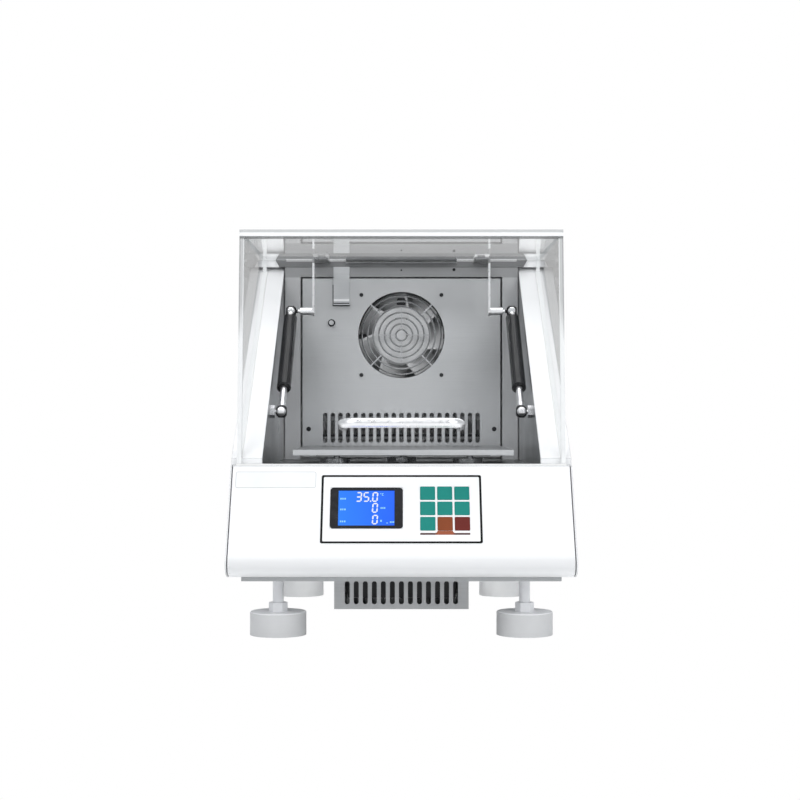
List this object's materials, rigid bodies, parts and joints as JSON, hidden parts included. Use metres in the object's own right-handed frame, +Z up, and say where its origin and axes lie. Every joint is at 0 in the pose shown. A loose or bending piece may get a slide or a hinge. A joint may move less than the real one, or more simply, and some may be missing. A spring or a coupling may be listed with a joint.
{
  "type": "shaking incubator",
  "caption": "Benchtop shaking incubator: sloped console with display and keypad, clear wedge lid on gas struts, steel chamber with a fan, and an orbiting platform.",
  "frame": {"origin": "on the bench, under the middle of the outline, at the undersides of the feet", "axes": "+X to the right seen from the front, +Y to the back, +Z up; the console and keypad face -Y"},
  "size_m": [0.376, 0.52, 0.45],
  "materials": {
    "white_paint": "satin",
    "plate_steel": "satin",
    "stainless": "brushed",
    "dark_frame": "satin",
    "vent_sheet": "satin",
    "fan_plastic": "matte",
    "impeller": "satin",
    "guard_wire": "polished",
    "heater_metal": "satin",
    "seal_rubber": "matte",
    "overlay_film": "satin",
    "bezel_plastic": "gloss",
    "display": "lit",
    "circuit_board": "matte",
    "teal_key": "satin",
    "orange_key": "satin",
    "red_key": "satin",
    "motor_iron": "satin",
    "belt_rubber": "matte",
    "cast_housing": "rough",
    "turned_steel": "machined",
    "hinge_steel": "satin",
    "acrylic": "clear",
    "handle_chrome": "polished",
    "strut_black": "satin",
    "strut_rod": "polished",
    "inlet_plastic": "matte",
    "foot_rubber": "matte"
  },
  "bodies": {
    "case": {"base_plate": "plate_steel", "front_console": "white_paint", "side_panel_left": "white_paint", "side_panel_right": "white_paint", "rear_cover": "white_paint", "chamber_floor": "stainless", "chamber_walls": "stainless", "back_frame": "dark_frame", "back_panel": "stainless", "fan_guard": "guard_wire", "fan_frame": "fan_plastic", "heater": "heater_metal", "sensor_cover": "stainless", "rim_seal": "seal_rubber", "key_overlay": "overlay_film", "display_bezel": "bezel_plastic", "display_glass": "display", "control_board": "circuit_board", "vent_box": "vent_sheet", "exhaust_fan_frame": "fan_plastic", "drive_motor": "motor_iron", "drive_belt": "belt_rubber", "bearing_housings": "cast_housing", "hinge_body_leaf": "hinge_steel", "lower_ball_studs": "turned_steel", "power_inlet": "inlet_plastic", "panel_screws": "turned_steel"},
    "lid": {"lid_front": "acrylic", "lid_top": "acrylic", "lid_sides": "acrylic", "lid_handle": "handle_chrome", "hinge_lid_leaf": "hinge_steel", "lid_brackets": "hinge_steel"},
    "strut_rod_left": {"strut_rod_left": "strut_rod"},
    "strut_tube_left": {"strut_tube_left": "strut_black"},
    "strut_rod_right": {"strut_rod_right": "strut_rod"},
    "strut_tube_right": {"strut_tube_right": "strut_black"},
    "crank": {"main_crank": "turned_steel"},
    "motor_pulley": {"motor_pulley": "turned_steel"},
    "shaking_platform": {"platform": "stainless", "platform_carrier": "stainless"},
    "idler_left": {"idler_crank_left": "turned_steel"},
    "idler_right": {"idler_crank_right": "turned_steel"},
    "fan_wheel": {"fan_wheel": "impeller"},
    "exhaust_fan_wheel": {"exhaust_fan_wheel": "fan_plastic"},
    "rocker": {"rocker_switch": "inlet_plastic"},
    "key_1": {"key_1": "teal_key"},
    "key_2": {"key_2": "teal_key"},
    "key_3": {"key_3": "teal_key"},
    "key_4": {"key_4": "teal_key"},
    "key_5": {"key_5": "teal_key"},
    "key_6": {"key_6": "teal_key"},
    "key_7": {"key_7": "teal_key"},
    "key_8": {"key_8": "orange_key"},
    "key_9": {"key_9": "red_key"},
    "foot_front_left": {"foot_front_left": "foot_rubber"},
    "foot_front_right": {"foot_front_right": "foot_rubber"},
    "foot_rear_left": {"foot_rear_left": "foot_rubber"},
    "foot_rear_right": {"foot_rear_right": "foot_rubber"}
  },
  "joints": [
    {"name": "lid_hinge", "type": "hinge", "parent": "case", "child": "lid", "pos_m": [0, 0.141, 0.446], "axis": [-1, 0, 0], "range_deg": [0, 70]},
    {"name": "strut_swing_left", "type": "hinge", "parent": "case", "child": "strut_rod_left", "pos_m": [-0.141, -0.08, 0.246], "axis": [1, 0, 0], "range_deg": [0, 21.59]},
    {"name": "strut_slide_left", "type": "slide", "parent": "strut_rod_left", "child": "strut_tube_left", "axis": [0, 0.7872, 0.6168], "range_m": [0, 0.05733]},
    {"name": "strut_swing_right", "type": "hinge", "parent": "case", "child": "strut_rod_right", "pos_m": [0.141, -0.08, 0.246], "axis": [1, 0, 0], "range_deg": [0, 21.59]},
    {"name": "strut_slide_right", "type": "slide", "parent": "strut_rod_right", "child": "strut_tube_right", "axis": [0, 0.7872, 0.6168], "range_m": [0, 0.05733]},
    {"name": "crank_spin", "type": "hinge", "parent": "case", "child": "crank", "pos_m": [0, -0.015, 0.15], "axis": [0, 0, 1], "continuous": true},
    {"name": "motor_pulley_spin", "type": "hinge", "parent": "case", "child": "motor_pulley", "pos_m": [0.07, 0.075, 0.13], "axis": [0, 0, 1], "continuous": true},
    {"name": "platform_pivot", "type": "hinge", "parent": "crank", "child": "shaking_platform", "pos_m": [0.00225, -0.02474, 0.196], "axis": [0, 0, 1], "continuous": true},
    {"name": "idler_spin_left", "type": "hinge", "parent": "case", "child": "idler_left", "pos_m": [-0.078, -0.075, 0.17], "axis": [0, 0, 1], "continuous": true},
    {"name": "idler_spin_right", "type": "hinge", "parent": "case", "child": "idler_right", "pos_m": [0.078, -0.075, 0.17], "axis": [0, 0, 1], "continuous": true},
    {"name": "fan_spin", "type": "hinge", "parent": "case", "child": "fan_wheel", "pos_m": [0, 0.16, 0.347], "axis": [0, 1, 0], "continuous": true},
    {"name": "exhaust_fan_spin", "type": "hinge", "parent": "case", "child": "exhaust_fan_wheel", "pos_m": [0, -0.116, 0.05], "axis": [0, 0, 1], "continuous": true},
    {"name": "rocker_tilt", "type": "hinge", "parent": "case", "child": "rocker", "pos_m": [-0.11, 0.257, 0.1225], "axis": [1, 0, 0], "range_deg": [0, 14]},
    {"name": "key_1_press", "type": "slide", "parent": "case", "child": "key_1", "axis": [0, 0.8572, -0.515], "range_m": [0, 0.00035], "stiffness_N_per_m": 1500, "springref_m": -0.0002},
    {"name": "key_2_press", "type": "slide", "parent": "case", "child": "key_2", "axis": [0, 0.8572, -0.515], "range_m": [0, 0.00035], "stiffness_N_per_m": 1500, "springref_m": -0.0002},
    {"name": "key_3_press", "type": "slide", "parent": "case", "child": "key_3", "axis": [0, 0.8572, -0.515], "range_m": [0, 0.00035], "stiffness_N_per_m": 1500, "springref_m": -0.0002},
    {"name": "key_4_press", "type": "slide", "parent": "case", "child": "key_4", "axis": [0, 0.8572, -0.515], "range_m": [0, 0.00035], "stiffness_N_per_m": 1500, "springref_m": -0.0002},
    {"name": "key_5_press", "type": "slide", "parent": "case", "child": "key_5", "axis": [0, 0.8572, -0.515], "range_m": [0, 0.00035], "stiffness_N_per_m": 1500, "springref_m": -0.0002},
    {"name": "key_6_press", "type": "slide", "parent": "case", "child": "key_6", "axis": [0, 0.8572, -0.515], "range_m": [0, 0.00035], "stiffness_N_per_m": 1500, "springref_m": -0.0002},
    {"name": "key_7_press", "type": "slide", "parent": "case", "child": "key_7", "axis": [0, 0.8572, -0.515], "range_m": [0, 0.00035], "stiffness_N_per_m": 1500, "springref_m": -0.0002},
    {"name": "key_8_press", "type": "slide", "parent": "case", "child": "key_8", "axis": [0, 0.8572, -0.515], "range_m": [0, 0.00035], "stiffness_N_per_m": 1500, "springref_m": -0.0002},
    {"name": "key_9_press", "type": "slide", "parent": "case", "child": "key_9", "axis": [0, 0.8572, -0.515], "range_m": [0, 0.00035], "stiffness_N_per_m": 1500, "springref_m": -0.0002},
    {"name": "foot_front_left_screw", "type": "slide", "parent": "case", "child": "foot_front_left", "axis": [0, 0, -1], "range_m": [-0.01, 0.015]},
    {"name": "foot_front_right_screw", "type": "slide", "parent": "case", "child": "foot_front_right", "axis": [0, 0, -1], "range_m": [-0.01, 0.015]},
    {"name": "foot_rear_left_screw", "type": "slide", "parent": "case", "child": "foot_rear_left", "axis": [0, 0, -1], "range_m": [-0.01, 0.015]},
    {"name": "foot_rear_right_screw", "type": "slide", "parent": "case", "child": "foot_rear_right", "axis": [0, 0, -1], "range_m": [-0.01, 0.015]}
  ],
  "couplings": [
    {"joint": "strut_swing_left", "follows": "lid_hinge", "ratio": 0.30769},
    {"joint": "strut_slide_left", "follows": "lid_hinge", "m_per_rad": 0.046844},
    {"joint": "strut_swing_right", "follows": "lid_hinge", "ratio": 0.30769},
    {"joint": "strut_slide_right", "follows": "lid_hinge", "m_per_rad": 0.046844},
    {"joint": "platform_pivot", "follows": "crank_spin", "ratio": -1},
    {"joint": "idler_spin_left", "follows": "crank_spin", "ratio": 1},
    {"joint": "idler_spin_right", "follows": "crank_spin", "ratio": 1},
    {"joint": "motor_pulley_spin", "follows": "crank_spin", "ratio": 3.125}
  ]
}
